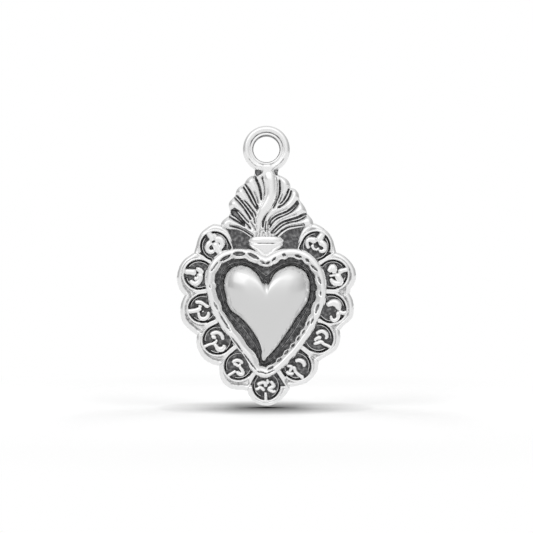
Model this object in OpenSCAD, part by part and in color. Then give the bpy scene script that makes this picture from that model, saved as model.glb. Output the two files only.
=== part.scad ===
// Sacred heart pendant, cast in one piece. Millimetres, +Z up.
// The origin is the centre of the bail hole, and the decorated front faces -Y.

/* [Bail ring] */
// Diameter of the hole for the jump ring
hole_d = 2.45; // [1.9:0.05:2.8]
// Outer diameter of the ring
ring_d = 4.36; // [4:0.02:5]
// Thickness of the ring, front to back
ring_t = 1.5; // [1.2:0.05:1.8]
// Length of the straight wall inside the hole
hole_wall = 0.9; // [0.6:0.05:1.1]
// Width of the thin lip that runs round the hole
ring_lip = 0.34; // [0.25:0.01:0.4]
// Width of the neck under the ring
neck_w = 2.1; // [1.6:0.05:2.6]

/* [Plate] */
// Thickness of the flat ground that carries the relief
floor_t = 0.75; // [0.6:0.01:0.9]

/* [Flames] */
// Height of the flames, from the ring down to the urn
flame_h = 5.95; // [5.4:0.05:6.6]
// Width across the lowest pair of flames
flame_w = 8.6; // [7.8:0.1:9.2]
// Width of the middle flame at its widest
middle_flame_w = 1.1; // [0.8:0.05:1.3]
// Width of a side flame near its tip
side_flame_w = 0.86; // [0.7:0.02:0.95]
// Height of the flames over the back
flame_t = 1.8; // [1.5:0.05:2.1]

/* [Urn] */
// Width of the lip of the urn
urn_w = 3.15; // [2.7:0.05:3.6]
// Height of the urn, from its lip to its foot
urn_h = 1.8; // [1.5:0.05:2.1]
// Height of the urn over the back
urn_t = 1.95; // [1.7:0.05:2.2]

/* [Heart frame] */
// Width across the frame
heart_w = 11.3; // [10.6:0.1:12]
// Radius of the frame's two upper lobes, at its outer edge
frame_lobe_r = 3.3; // [3.1:0.05:3.5]
// Radius of the frame's shoulders, under its widest place
shoulder_r = 8.8; // [8:0.1:10]
// Turn of the shoulders in degrees
shoulder_turn = 30; // [26:1:33]
// Radius of the frame's flanks, down to the tip
flank_r = 14; // [12.5:0.5:16]
// Turn of the flanks in degrees
flank_turn = 21; // [18:1:23]
// Radius of the small bend at the cleft
cleft_r = 0.7; // [0.6:0.05:0.9]
// Width of the frame's band
frame_w = 0.98; // [0.85:0.01:1.1]
// Height of the frame over the back
frame_t = 2.1; // [1.8:0.05:2.3]
// Length of one twist of the rope on the frame's inner half
rope_pitch = 1.2; // [1:0.05:1.6]
// Depth of the cuts between the twists
rope_cut = 0.28; // [0.1:0.01:0.35]

/* [Heart dome] */
// Width of the channel between frame and dome
channel_w = 0.62; // [0.5:0.02:0.8]
// Height of the dome's edge over the back
dome_edge_t = 1.2; // [1:0.05:1.4]
// Height of the dome's crown over the back
dome_t = 3.05; // [2.6:0.05:3.4]

/* [Scalloped border] */
// Distance from lobe to lobe along the frame
lobe_pitch = 3.17; // [3.05:0.01:3.25]
// Distance of the lobe centres from the frame's outer edge
lobe_gap = 0.65; // [0.55:0.01:0.8]
// Radius of a lobe
lobe_r = 2.09; // [1.95:0.01:2.2]
// Radius of the round recess in a lobe
recess_r = 1.33; // [1.25:0.01:1.38]
// Width of the thin bead round the recess
bead_w = 0.22; // [0.18:0.01:0.26]
// Height of the bead over the back
bead_t = 1.5; // [1.3:0.05:1.6]
// Height of the scroll in a recess over the back
scroll_t = 1.25; // [1.1:0.05:1.4]
// Width of the scroll's stem at its narrowest
scroll_w = 0.2; // [0.16:0.01:0.24]

/* [Hidden] */

// Number of lobes on each side, besides the one at the bottom
side_lobes = 5;

// Height over the back at which a raised feature starts, inside the plate that carries it
sunk = floor_t / 2;
// Features that cross each other start at heights that differ by this much
stagger = 0.05;

ring_r = ring_d / 2;
ring_wall = (ring_d - hole_d) / 2;
// Rounding of the ring's outer edges
ring_round = 0.24;
// Bevel of the hole's front edge
hole_bevel = 0.12;
// Depth and half width of the groove between the lip and the ring's outer band
groove_d = 0.1;
groove_half_w = 0.08;
// How much lower the lip and the neck are than the ring's front
lip_drop = 0.03;
neck_drop = 0.4;
// Height of the neck between the ring and the ground under it
neck_h = 0.4;

urn_top = -ring_r - flame_h;
urn_foot = urn_top - urn_h;
// Gap between the urn's foot and the frame's outer edge at the cleft
foot_gap = 0.1;
// How far the urn's foot reaches down over the frame
foot_overlap = 0.3;

// How much higher the middle flame is than the side ones, and how much lower a side flame is at its root
middle_rise = 0.1;
root_drop = 0.4;
// Width of a flame's root as a share of its full width
root_share = 0.38;

// A station of a path is [x, y, heading, length so far]
function turned(v, a) = [v.x * cos(a) - v.y * sin(a), v.x * sin(a) + v.y * cos(a)];

// An arc is [radius, turn], and a positive turn bends left
function arc_len(arc) = arc[0] * abs(arc[1]) * PI / 180;
function arc_at(s, arc, turn) =
    let (spoke = arc[0] * sign(arc[1]) * turned([0, 1], s[2]),
         p = [s.x, s.y] + spoke - turned(spoke, turn))
    [p.x, p.y, s[2] + turn, s[3] + arc[0] * abs(turn) * PI / 180];

// Stations along a chain of arcs, about one step apart
function chain(s, arcs, step, i = 0) =
    i == len(arcs) ? [s] :
    let (arc = arcs[i], n = ceil(arc_len(arc) / step))
    concat([for (k = [0:n - 1]) arc_at(s, arc, arc[1] * k / n)],
           chain(arc_at(s, arc, arc[1]), arcs, step, i + 1));

// The place at a given length along a chain
function along(s, arcs, length, i = 0) =
    let (here = arc_len(arcs[i]))
    length <= here || i == len(arcs) - 1 ? arc_at(s, arcs[i], arcs[i][1] * length / here) :
    along(arc_at(s, arcs[i], arcs[i][1]), arcs, length - here, i + 1);

// The right half of the heart runs from the cleft down to the tip, at distance out from the middle line
mid = frame_w / 2;
lobe_x = heart_w / 2 - frame_lobe_r;
cleft_turn = asin(lobe_x / (frame_lobe_r - mid + cleft_r));
flank_end = shoulder_turn + flank_turn;
tip_x = heart_w / 2 - mid - (shoulder_r - mid) * (1 - cos(shoulder_turn))
    - (flank_r - mid) * (cos(shoulder_turn) - cos(flank_end));
tip_r = tip_x / cos(flank_end);
cleft_y = urn_foot - mid - foot_gap;
function heart_start(out) = [0, cleft_y + out, 0, 0];
function heart_arcs(out) = [
    [cleft_r - out, cleft_turn],
    [frame_lobe_r - mid + out, -cleft_turn - 90],
    [shoulder_r - mid + out, -shoulder_turn],
    [flank_r - mid + out, -flank_turn],
    [tip_r + out, flank_end - 90]];
function heart_half(out, step) = chain(heart_start(out), heart_arcs(out), step);
function heart_len(out) = let (h = heart_half(out, 1)) h[len(h) - 1][3];

// The left half is the right one seen in a mirror and walked the other way
function mirrored(half) =
    let (n = len(half), total = 2 * half[n - 1][3])
    [for (k = [n - 2:-1:1]) [-half[k].x, half[k].y, -half[k][2], total - half[k][3]]];
function heart_loop(out, step) = let (half = heart_half(out, step)) concat(half, mirrored(half));

// A point of a cross section, out to the left of a station and up from the back
function section(s, outline) = [for (p = outline)
    let (side = turned([0, p[0]], s[2])) [s.x + side.x, s.y + side.y, p[1]]];

// A smooth curve through control points
function spline_at(a, b, c, d, t) =
    0.5 * (2 * b + (c - a) * t + (2 * a - 5 * b + 4 * c - d) * t * t + (3 * b - a - 3 * c + d) * t * t * t);
function closed_curve(p, steps) = let (n = len(p))
    [for (i = [0:n - 1], k = [0:steps - 1])
        spline_at(p[(i + n - 1) % n], p[i], p[(i + 1) % n], p[(i + 2) % n], k / steps)];
function open_curve(p, steps) = let (n = len(p), q = concat([2 * p[0] - p[1]], p, [2 * p[n - 1] - p[n - 2]]))
    concat([for (i = [0:n - 2], k = [0:steps - 1]) spline_at(q[i], q[i + 1], q[i + 2], q[i + 3], k / steps)],
           [p[n - 1]]);

// A solid skin over a list of rings with the same number of points
module loft(rings, loop = false) {
    n = len(rings[0]);
    m = len(rings);
    sides = [for (i = [0:(loop ? m : m - 1) - 1], k = [0:n - 1])
        let (a = i * n, b = (i + 1) % m * n, j = (k + 1) % n)
        each [[a + k, b + k, b + j], [a + k, b + j, a + j]]];
    caps = loop ? [] : [[for (k = [0:n - 1]) k], [for (k = [n - 1:-1:0]) (m - 1) * n + k]];
    polyhedron([for (ring = rings, p = ring) p], concat(sides, caps), convexity = 10);
}

// A raised ridge along a curve, with its half width and its height over the back given for each point.
// Its far end is rounded by a nose of two more rings.
NOSE = [[0.55, 0.86, 0.93], [0.95, 0.42, 0.7]];
BLUNT = [[0.7, 0.6, 0.8]];
ROUND = [[1, 0], [1, 0.6], [0.55, 1], [-0.55, 1], [-1, 0.6], [-1, 0]];
FLAT = [[1.1, 0], [0.7, 1], [-0.7, 1], [-1.1, 0]];
function ridge_ring(p, way, half_w, top, base, form) =
    [for (q = form) let (e = p + [-way.y, way.x] * half_w * q[0]) [e.x, e.y, base + q[1] * (top - base)]];
module ridge(curve, half_w, top, base = sunk, form = ROUND, nose = NOSE) {
    n = len(curve) - 1;
    function way(k) = let (v = curve[min(k + 1, n)] - curve[max(k - 1, 0)]) v / norm(v);
    loft(concat(
        [for (k = [0:n]) ridge_ring(curve[k], way(k), half_w[k], top[k], base, form)],
        [for (r = nose) ridge_ring(curve[n] + way(n) * half_w[n] * r[0], way(n), half_w[n] * r[1],
                                   base + r[2] * (top[n] - base), base, form)]));
}

module bail() {
    hole_r = hole_d / 2;
    groove_r = hole_r + ring_lip;
    wall_low = (ring_t - hole_wall) / 2;
    corner_r = ring_r - ring_round / 4;
    color("silver") {
        rotate_extrude($fn = 96)
            polygon([
                [hole_r, wall_low], [hole_r, wall_low + hole_wall],
                [hole_r + hole_bevel, ring_t - groove_d], [groove_r - groove_half_w, ring_t - lip_drop],
                [groove_r, ring_t - groove_d], [groove_r + groove_half_w, ring_t],
                [ring_r - ring_round, ring_t], [corner_r, ring_t - ring_round],
                [ring_r, ring_t / 2], [corner_r, ring_round], [ring_r - ring_round, 0],
                [hole_r + wall_low, 0]]);
        translate([-neck_w / 2, -ring_r - neck_h, sunk])
            cube([neck_w, neck_h + ring_wall * 0.4, ring_t - neck_drop - sunk]);
    }
}

// Centres of the lobes as [x, y, heading, length], clockwise from the top right to the top left
lobe_out = mid + lobe_gap;
lobe_path_len = heart_len(lobe_out);
function lobe_place(k) =
    let (s = along(heart_start(lobe_out), heart_arcs(lobe_out), lobe_path_len - abs(k) * lobe_pitch))
    k >= 0 ? s : [-s.x, s.y, -s[2], 2 * lobe_path_len - s[3]];
LOBES = [for (k = [side_lobes:-1:-side_lobes]) lobe_place(k)];
function xy(p) = [p.x, p.y];

// Section of a lobe: distance from its centre and height over the back, from the recess over the bead
// and down a shallow groove to the rounded lip
bead_r = recess_r + bead_w;
half_pitch = lobe_pitch / 2;
bead_slope = 0.06;
lip_w = lobe_r - bead_r;
lip_groove = 0.2;
lip_t = bead_t - 0.15;
STEPS = [
    [recess_r - bead_slope, floor_t], [recess_r + bead_slope / 2, bead_t - bead_slope * 1.5],
    [recess_r + bead_w / 2, bead_t], [bead_r, bead_t - lip_groove / 2],
    [bead_r + lip_w / 6, bead_t - lip_groove], [bead_r + lip_w / 2, lip_t],
    [lobe_r - lip_w / 5, lip_t - lip_groove], [lobe_r, floor_t]];
// Steps of the section that belong to the recess and its bead
INNER = 4;

// The line between lobe i and the next one, from under the frame outward to the notch in the edge.
// The last value of a point is the step of the section that reaches it, or 0 on the bar's flat top.
BAR = [0.8, 0.5, 0.2, 0];
notch = len(BAR) + len(STEPS) - INNER - 1;
function bar_points(i) =
    let (a = xy(LOBES[i]), b = xy(LOBES[i + 1]), half = norm(b - a) / 2,
         out = [a.y - b.y, b.x - a.x] / (2 * half))
    concat([for (d = BAR) concat((a + b) / 2 - out * d * lobe_out, [0])],
           [for (k = [INNER:len(STEPS) - 1]) let (r = STEPS[k][0])
               concat((a + b) / 2 + out * sqrt(r * r - half * half), [k])]);

// The open side of the first and the last lobe: turn from its outward direction and share of the lip's width
FREE_SIDE = [[133, 0.4], [120, 0.4], [108, 0.4], [97, 0.4], [87, 0.45], [77, 0.55], [68, 0.75], [59, 0.95]];
function free_r(share) = bead_r + (lobe_r - bead_r) * share;
function free_points(i, side) =
    [for (f = FREE_SIDE) concat(xy(LOBES[i]) + free_r(f[1]) * turned([0, 1], LOBES[i][2] - side * f[0]),
                                [len(STEPS) - 1])];

// All points round lobe i, clockwise from under the frame on its near side
EDGE_STEPS = 9;
last = 2 * side_lobes;
function reversed(v) = [for (k = [len(v) - 1:-1:0]) v[k]];
function rim_points(i) =
    let (near = i == 0 ? free_points(i, -1) : bar_points(i - 1),
         far = i == last ? free_points(i, 1) : bar_points(i),
         c = xy(LOBES[i]), a = near[notch] - concat(c, [0]), b = far[notch] - concat(c, [0]),
         from = atan2(a.y, a.x), sweep = (from - atan2(b.y, b.x) + 360) % 360)
    concat(near,
           [for (k = [1:EDGE_STEPS - 1])
               concat(c + lobe_r * turned([1, 0], from - sweep * k / EDGE_STEPS), [len(STEPS) - 1])],
           reversed(far),
           [for (t = [0.25, 0.5, 0.75]) concat(xy(far[0]) * (1 - t) + xy(near[0]) * t, [0])]);

// One column of points, from the recess out over the bead and lip, then down to the ground and to the back
function column(c, p) =
    let (r = norm(xy(p) - c), way = (xy(p) - c) / r, stop = p.z, top = stop == 0 ? bead_t : STEPS[stop][1],
         lip = stop == len(STEPS) - 1 ? (r - bead_r) / (lobe_r - bead_r) : 1)
    concat(
        [for (k = [0:INNER - 1]) let (s = STEPS[k], q = c + way * s[0] * (stop == 0 ? r / half_pitch : 1))
            [q.x, q.y, stop == 0 && k == INNER - 1 ? top : s[1]]],
        [for (k = [INNER:len(STEPS) - 1]) let (s = STEPS[k], q = c + way * (bead_r + (s[0] - bead_r) * lip))
            k < stop ? [q.x, q.y, s[1]] : [p.x, p.y, top]],
        [[p.x, p.y, floor_t], [p.x, p.y, 0]]);

// Outline of the ground behind the flames, clockwise from the top left lobe to the top right one
function fan_outline() =
    let (tips = reversed([for (f = FLAMES) flame_point([f[4].x * 0.97, f[4].y + 0.02])]),
         neck = ring_r - ring_wall * 0.3, half = len(tips) / 2)
    concat([for (k = [0:half - 1]) tips[k]],
           [for (p = [[-1, ring_r + neck_h], [-1, neck], [1, neck], [1, ring_r + neck_h]])
               [p.x * neck_w / 2, -p.y]],
           [for (k = [half:len(tips) - 1]) tips[k]]);

// The casting's body is one skin: a dish for each lobe, joined along the bars to its neighbours,
// and the flat ground that they enclose, which reaches up behind the flames to the neck
module body() {
    rims = [for (i = [0:last]) rim_points(i)];
    cells = [for (i = [0:last]) let (c = xy(LOBES[i]))
        concat([for (p = rims[i]) each column(c, p)], [concat(c, [floor_t]), concat(c, [0])])];
    size = len(cells[0]);
    n = len(rims[0]);
    edge = len(STEPS) - 1;
    ground = edge + 1;
    back = edge + 2;
    rows = edge + 3;
    // The ground is laid out round a point in the middle of the urn
    hub = [0, (urn_top + urn_foot) / 2];
    far_notch = notch + EDGE_STEPS;
    outline = concat([xy(rims[last][far_notch])], fan_outline(), [xy(rims[0][notch])]);
    function joined(i, k) = (i > 0 && k < notch) || (i < last && k >= far_notch && k < far_notch + notch);
    function open_edge(k) = k >= notch && k < far_notch;
    function quad(a, b, c, d) = [[a, b, c], [a, c, d]];
    cell_faces = [for (i = [0:last], k = [0:n - 1])
        let (start = i * size, a = start + k * rows, b = start + (k + 1) % n * rows,
             centre = start + n * rows, hub_top = (last + 1) * size)
        each concat(
            [[centre, a, b], [centre + 1, b + back, a + back]],
            [for (j = [0:edge - 1]) each quad(a + j, a + j + 1, b + j + 1, b + j)],
            joined(i, k) ? [] :
            open_edge(k) ? quad(a + edge, a + back, b + back, b + edge) :
            concat(quad(a + edge, a + ground, b + ground, b + edge),
                   [[hub_top, b + ground, a + ground], [hub_top + 1, a + back, b + back]]))];
    outline_faces = let (hub_top = (last + 1) * size)
        [for (k = [0:len(outline) - 2]) let (a = hub_top + 2 + 2 * k, b = a + 2)
            each concat(quad(a, a + 1, b + 1, b), [[hub_top, a, b], [hub_top + 1, b + 1, a + 1]])];
    points = concat([for (cell = cells) each cell], [concat(hub, [floor_t]), concat(hub, [0])],
                    [for (p = outline) each [concat(p, [floor_t]), concat(p, [0])]]);
    color("silver")
        polyhedron(points,
                   [for (f = concat(cell_faces, outline_faces))
                       if (points[f[0]] != points[f[1]] && points[f[1]] != points[f[2]]
                           && points[f[2]] != points[f[0]]) f],
                   convexity = 10);
}

// Scroll in a recess: a stem from the rim to a bud, and two arms that curl round to a swollen end.
// Places are shares of the recess's radius, and widths are shares of the stem's.
STEM = [[0, 1.09], [0, 0.66], [0, 0.2], [0, -0.36]];
STEM_W = [1.3, 1, 1.8, 1.7];
ARM = [[0, 0.19], [0.25, 0.38], [0.52, 0.36], [0.67, 0.1], [0.59, -0.22], [0.34, -0.3]];
ARM_W = [1.3, 1.4, 1.5, 1.5, 1.7, 1.8];
arm_rise = 0.03;
module scrolls() {
    color("lightgray")
        for (i = [0:last])
            translate(xy(LOBES[i]))
                rotate(LOBES[i][2]) {
                    ridge(STEM * recess_r, STEM_W * scroll_w / 2, [for (p = STEM) scroll_t],
                          sunk, FLAT, BLUNT);
                    for (side = [-1, 1])
                        ridge([for (p = ARM) [p.x * side, p.y] * recess_r], ARM_W * scroll_w / 2,
                              [for (p = ARM) scroll_t + arm_rise],
                              sunk + stagger * (1.5 + side), FLAT, BLUNT);
                }
}

// Middle lines of the side flames, root first, as shares of half the fan's width and of its height
FLAMES = [
    [[0.08, -0.04], [0.23, 0.09], [0.4, 0.17], [0.66, 0.23], [0.88, 0.26]],
    [[0.02, 0.06], [0.14, 0.22], [0.36, 0.31], [0.6, 0.38], [0.74, 0.45]],
    [[0.02, 0.18], [0.12, 0.34], [0.35, 0.45], [0.54, 0.57], [0.6, 0.68]],
    [[0.02, 0.3], [0.14, 0.45], [0.3, 0.6], [0.37, 0.73], [0.38, 0.84]],
    [[-0.08, 0.35], [-0.13, 0.5], [-0.2, 0.62], [-0.28, 0.74], [-0.34, 0.84]],
    [[-0.14, 0.18], [-0.21, 0.32], [-0.31, 0.47], [-0.43, 0.6], [-0.54, 0.7]],
    [[-0.14, 0.08], [-0.32, 0.22], [-0.46, 0.34], [-0.59, 0.44], [-0.7, 0.52]],
    [[-0.1, -0.04], [-0.33, 0.1], [-0.55, 0.17], [-0.7, 0.21], [-0.86, 0.24]]];
MIDDLE_FLAME = [[-0.2, -0.04], [-0.2, 0.2], [-0.11, 0.37], [0.03, 0.53], [0.11, 0.7], [0.11, 0.87]];
function flame_point(p) = [p[0] * flame_w / 2, urn_top + p[1] * flame_h];
// Share of the full width along a flame, which it has by two thirds of the way to its tip
function swell(t) = min(1, root_share + (1 - root_share) * 1.4 * t);

module flames() {
    // The middle flame runs on up to the lower part of the ring
    middle = open_curve(concat([for (p = MIDDLE_FLAME) flame_point(p)],
                               [[0, -ring_r], [0, -ring_r + ring_wall / 2]]), 2);
    m = len(middle) - 1;
    color("silver") {
        for (i = [0:len(FLAMES) - 1]) {
            curve = open_curve([for (p = FLAMES[i]) flame_point(p)], 2);
            n = len(curve) - 1;
            ridge(curve, [for (k = [0:n]) side_flame_w / 2 * swell(k / n)],
                  [for (k = [0:n]) flame_t - root_drop * (1 - swell(k / n))], sunk + stagger * (i % 2));
        }
        ridge(middle, [for (k = [0:m]) middle_flame_w / 2 * swell(k / m) * (1 - 0.35 * pow(k / m, 4))],
              [for (k = [0:m]) flame_t + middle_rise], sunk - 2 * stagger);
    }
}

// The urn is a turned form of which the front half stands out of the ground: foot, waist, lip
module urn() {
    r = urn_w / 2;
    color("silver")
        translate([0, urn_foot, urn_t - r])
            rotate([-90, 0, 0])
                rotate_extrude(angle = 180, start = 180, $fn = 72)
                    polygon([[0, -foot_overlap], [0.55 * r, -foot_overlap], [0.6 * r, urn_h * 0.34],
                             [0.92 * r, urn_h * 0.5],
                             [r, urn_h * 0.58], [0.97 * r, urn_h * 0.66], [r, urn_h * 0.76],
                             [r, urn_h * 0.9], [0.93 * r, urn_h], [0, urn_h]]);
}

// The frame's outer half is a smooth band, and its inner half is twisted like a rope
module frame() {
    color("silver")
        loft([for (s = heart_loop(0, rope_pitch / 4))
            let (bump = abs(sin(180 * s[3] / rope_pitch)))
            section(s, [
                [mid, sunk], [mid, frame_t * 0.72], [mid * 0.74, frame_t * 0.93], [mid * 0.3, frame_t],
                [-mid * 0.05, frame_t - rope_cut * bump], [-mid * 0.45, frame_t - 0.06],
                [-mid * (0.7 + 0.3 * bump), frame_t * 0.78], [-mid * (0.7 + 0.3 * bump), sunk]])],
            loop = true);
}

// Outline of the dome as shares of its half width and of its height over the tip, clockwise from the cleft
DOME_OUTLINE = [
    [-0.01, 0.835], [-0.24, 0.93], [-0.58, 0.995], [-0.82, 0.94], [-0.98, 0.8], [-0.9, 0.61], [-0.54, 0.45],
    [-0.26, 0.29], [-0.14, 0.12], [-0.06, 0], [0.14, 0.08], [0.48, 0.29], [0.86, 0.56], [1, 0.76],
    [0.92, 0.89], [0.58, 1], [0.2, 0.92]];
// Rise of the dome, as shares of the way in from its edge and of its height over its edge
DOME_RISE = [[0, 0], [0.02, 0.2], [0.07, 0.4], [0.15, 0.58], [0.27, 0.75], [0.42, 0.87], [0.62, 0.955],
             [0.85, 0.995]];

module dome() {
    // The dome keeps its distance from the frame's inner edge all round
    half_w = heart_w / 2 - frame_w - channel_w;
    top = heart_half(-mid, 1);
    high = max([for (s = top) s.y]) - channel_w;
    low = min([for (s = top) s.y]) + channel_w;
    centre = [0.02 * half_w, low + 0.63 * (high - low)];
    edge = closed_curve([for (p = DOME_OUTLINE) [p.x * half_w, low + p.y * (high - low)]], 3);
    function ring(share, z) = [for (p = edge) let (q = p + (centre - p) * share) [q.x, q.y, z]];
    color("silver")
        loft(concat([ring(0, sunk)],
            [for (r = DOME_RISE) ring(r[0], dome_edge_t + r[1] * (dome_t - dome_edge_t))]));
}

module pendant() {
    translate([0, ring_t / 2, 0])
        rotate([90, 0, 0]) {
            bail();
            flames();
            urn();
            frame();
            dome();
            body();
            scrolls();
        }
}

pendant();
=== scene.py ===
import math

import bpy
import numpy as np
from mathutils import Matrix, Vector
from mathutils.bvhtree import BVHTree
from mathutils.geometry import delaunay_2d_cdt


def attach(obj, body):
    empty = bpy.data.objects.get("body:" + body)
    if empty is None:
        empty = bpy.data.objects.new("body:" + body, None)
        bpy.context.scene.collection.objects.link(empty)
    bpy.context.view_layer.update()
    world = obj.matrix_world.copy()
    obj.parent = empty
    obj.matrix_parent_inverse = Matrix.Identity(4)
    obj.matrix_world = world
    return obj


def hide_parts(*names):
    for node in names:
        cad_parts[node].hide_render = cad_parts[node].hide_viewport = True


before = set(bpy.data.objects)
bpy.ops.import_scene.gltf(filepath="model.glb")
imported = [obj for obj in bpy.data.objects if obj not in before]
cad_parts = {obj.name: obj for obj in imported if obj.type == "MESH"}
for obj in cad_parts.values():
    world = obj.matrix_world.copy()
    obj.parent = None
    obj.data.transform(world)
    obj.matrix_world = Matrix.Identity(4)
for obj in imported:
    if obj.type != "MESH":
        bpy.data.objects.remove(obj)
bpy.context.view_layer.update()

# The drawing plane is the pendant's front: x to the right and y up from the bail hole's centre, h up from
# the flat back, all in millimetres. Places measured in the photograph are pixels of its square frame.
FRAME_PX = 533
CENTRE_PX = FRAME_PX / 2
HOLE_X = 266.4
HOLE_Y = 149.4
PX = 0.093
VIEW_D = 130.0

# Thickness of the ring, height of the flat ground over the back, and radii of the bail hole and the ring
RING_T = 1.5
GROUND = 0.75
HOLE_R = 1.225
RING_R = 2.174

# How dark the oxide is on flat low ground, and in the finest cuts
GROUND_OXIDE = 0.85
CUT_OXIDE = 0.8


def mm(points, h=GROUND):
    """Photograph pixels to millimetres at height h over the back; a third column is a width in pixels."""
    p = np.array(points, float)
    nearer = 1 - (h - GROUND) / VIEW_D
    out = [(p[:, 0] - HOLE_X) * PX * nearer,
           (HOLE_Y - CENTRE_PX) * PX + (CENTRE_PX - p[:, 1]) * PX * nearer]
    if p.shape[1] > 2:
        out.append(p[:, 2] * PX)
    return np.stack(out, axis=1)


def step(lo, hi, x):
    """A smooth step from 0 at lo to 1 at hi."""
    t = np.clip((np.asarray(x, float) - lo) / (hi - lo), 0, 1)
    return t * t * (3 - 2 * t)


def curve(points, n, closed=False):
    """n points at equal steps along a smooth curve through the given ones."""
    fine_steps = 16
    p = np.asarray(points, float)
    if closed:
        ext = np.vstack([p[-1:], p, p[:2]])
    else:
        ext = np.vstack([2 * p[:1] - p[1:2], p, 2 * p[-1:] - p[-2:-1]])
    t = np.linspace(0, 1, fine_steps, endpoint=False)[:, None]
    parts = []
    for i in range(len(ext) - 3):
        a, b, c, d = ext[i:i + 4]
        parts.append(0.5 * (2 * b + (c - a) * t + (2 * a - 5 * b + 4 * c - d) * t * t
                            + (3 * b - a - 3 * c + d) * t ** 3))
    q = np.vstack(parts + [p[:1] if closed else p[-1:]])
    s = np.concatenate([[0], np.cumsum(np.linalg.norm(np.diff(q[:, :2], axis=0), axis=1))])
    u = np.linspace(0, s[-1], n, endpoint=not closed)
    return np.stack([np.interp(u, s, q[:, k]) for k in range(q.shape[1])], axis=1)


def normals(c, closed=False):
    """Unit normals to the left of a planar curve."""
    if closed:
        t = np.roll(c, -1, axis=0) - np.roll(c, 1, axis=0)
    else:
        t = np.gradient(c, axis=0)
    t = t / np.linalg.norm(t, axis=1, keepdims=True)
    return np.stack([-t[:, 1], t[:, 0]], axis=1)


def turning(line):
    """1 where a closed line runs anticlockwise, so that its normals point inward, and -1 elsewhere."""
    after = np.roll(line, -1, axis=0)
    return np.sign(np.sum(line[:, 0] * after[:, 1] - after[:, 0] * line[:, 1]))


def away(p, line):
    """Distance of each point from a dense line of points."""
    batch = 4000
    out = np.empty(len(p))
    for i in range(0, len(p), batch):
        d = p[i:i + batch, None, :] - line[None]
        out[i:i + batch] = np.sqrt((d ** 2).sum(axis=2).min(axis=1))
    return out


def rounded(t):
    """Rise of a rounded edge, from 0 at its foot to 1 where t is 1."""
    return np.sqrt(1 - (1 - np.clip(t, 0, 1)) ** 2)


shells = []


def add(verts, quads, tris, stain):
    """Keep a closed shell, with its faces turned outward; stain is how dark the oxide makes each point."""
    verts = np.asarray(verts, float)
    quads = np.asarray(quads, int).reshape(-1, 4)
    tris = np.asarray(tris, int).reshape(-1, 3)
    every = np.vstack([quads[:, :3], quads[:, [0, 2, 3]], tris])
    a, b, c = (verts[every[:, k]] for k in range(3))
    if (a * np.cross(b, c)).sum() < 0:
        quads, tris = quads[:, ::-1], tris[:, ::-1]
    shells.append((verts, quads, tris, np.broadcast_to(np.asarray(stain, float), len(verts))))


def loft(rings, stain, loop=False):
    """A skin over rings with the same number of points, closed in itself or by a fan at each end."""
    rings = np.asarray(rings, float)
    m, n = rings.shape[:2]
    idx = np.arange(m * n).reshape(m, n)
    a, b = (idx, np.roll(idx, -1, axis=0)) if loop else (idx[:-1], idx[1:])
    quads = np.stack([a, b, np.roll(b, -1, axis=1), np.roll(a, -1, axis=1)], axis=-1).reshape(-1, 4)
    verts = rings.reshape(-1, 3)
    stain = np.broadcast_to(stain, (m, n))
    marks = stain.reshape(-1)
    tris = []
    if not loop:
        verts = np.vstack([verts, rings[0].mean(axis=0), rings[-1].mean(axis=0)])
        marks = np.append(marks, [stain[0].mean(), stain[-1].mean()])
        k = np.arange(n)
        j = (k + 1) % n
        tris = np.vstack([
            np.stack([np.full(n, m * n), k, j], axis=1),
            np.stack([np.full(n, m * n + 1), (m - 1) * n + j, (m - 1) * n + k], axis=1)])
    add(verts, quads, tris, marks)


def arch(n):
    """Places across from 1 to -1, and their rise, at equal turns of a half circle."""
    turn = np.linspace(0, math.pi, n)
    return np.cos(turn), np.sin(turn)


def crossed(line, nrm, reach, h):
    """Rings across a line, at distances reach to its left and at heights h."""
    x = line[:, None, 0] + nrm[:, None, 0] * reach
    y = line[:, None, 1] + nrm[:, None, 1] * reach
    return np.stack([x, y, h], axis=2)


def ridge(points, top, n, base, ends, power, sections, foot, shade=0.0):
    """A rounded ridge along a curve of (x, y, half width).

    n and sections are its points along and across, ends says how far each end is drawn in, in half widths,
    and foot is the height where the stain ends.
    """
    least = 0.05
    c = curve(points, n)
    nrm = normals(c[:, :2])
    s = np.concatenate([[0], np.cumsum(np.linalg.norm(np.diff(c[:, :2], axis=0), axis=1))])
    fade = np.ones(n)
    for reach, d, at in ((ends[0], s, 0), (ends[1], s[-1] - s, -1)):
        if reach > 0:
            fade = fade * np.maximum(rounded(d / (reach * c[at, 2])), 0.2)
    q, up = arch(sections)
    half = c[:, 2] * np.maximum(fade, least)
    height = (np.asarray(top) - base) * np.ones(n) * np.maximum(fade, least) ** 0.6
    h = base + height[:, None] * up ** power
    loft(crossed(c, nrm, half[:, None] * q, h), stain=np.maximum(step(foot + 0.12, foot - 0.12, h), shade))


def inside(p, ring):
    """Whether each point lies inside a ring of points."""
    x0, y0 = ring[:, 0], ring[:, 1]
    x1, y1 = np.roll(x0, -1), np.roll(y0, -1)
    out = np.zeros(len(p), bool)
    for k in range(len(ring)):
        if y0[k] != y1[k]:
            crosses = (y0[k] > p[:, 1]) != (y1[k] > p[:, 1])
            out ^= crosses & (p[:, 0] < (x1[k] - x0[k]) * (p[:, 1] - y0[k]) / (y1[k] - y0[k]) + x0[k])
    return out


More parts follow.
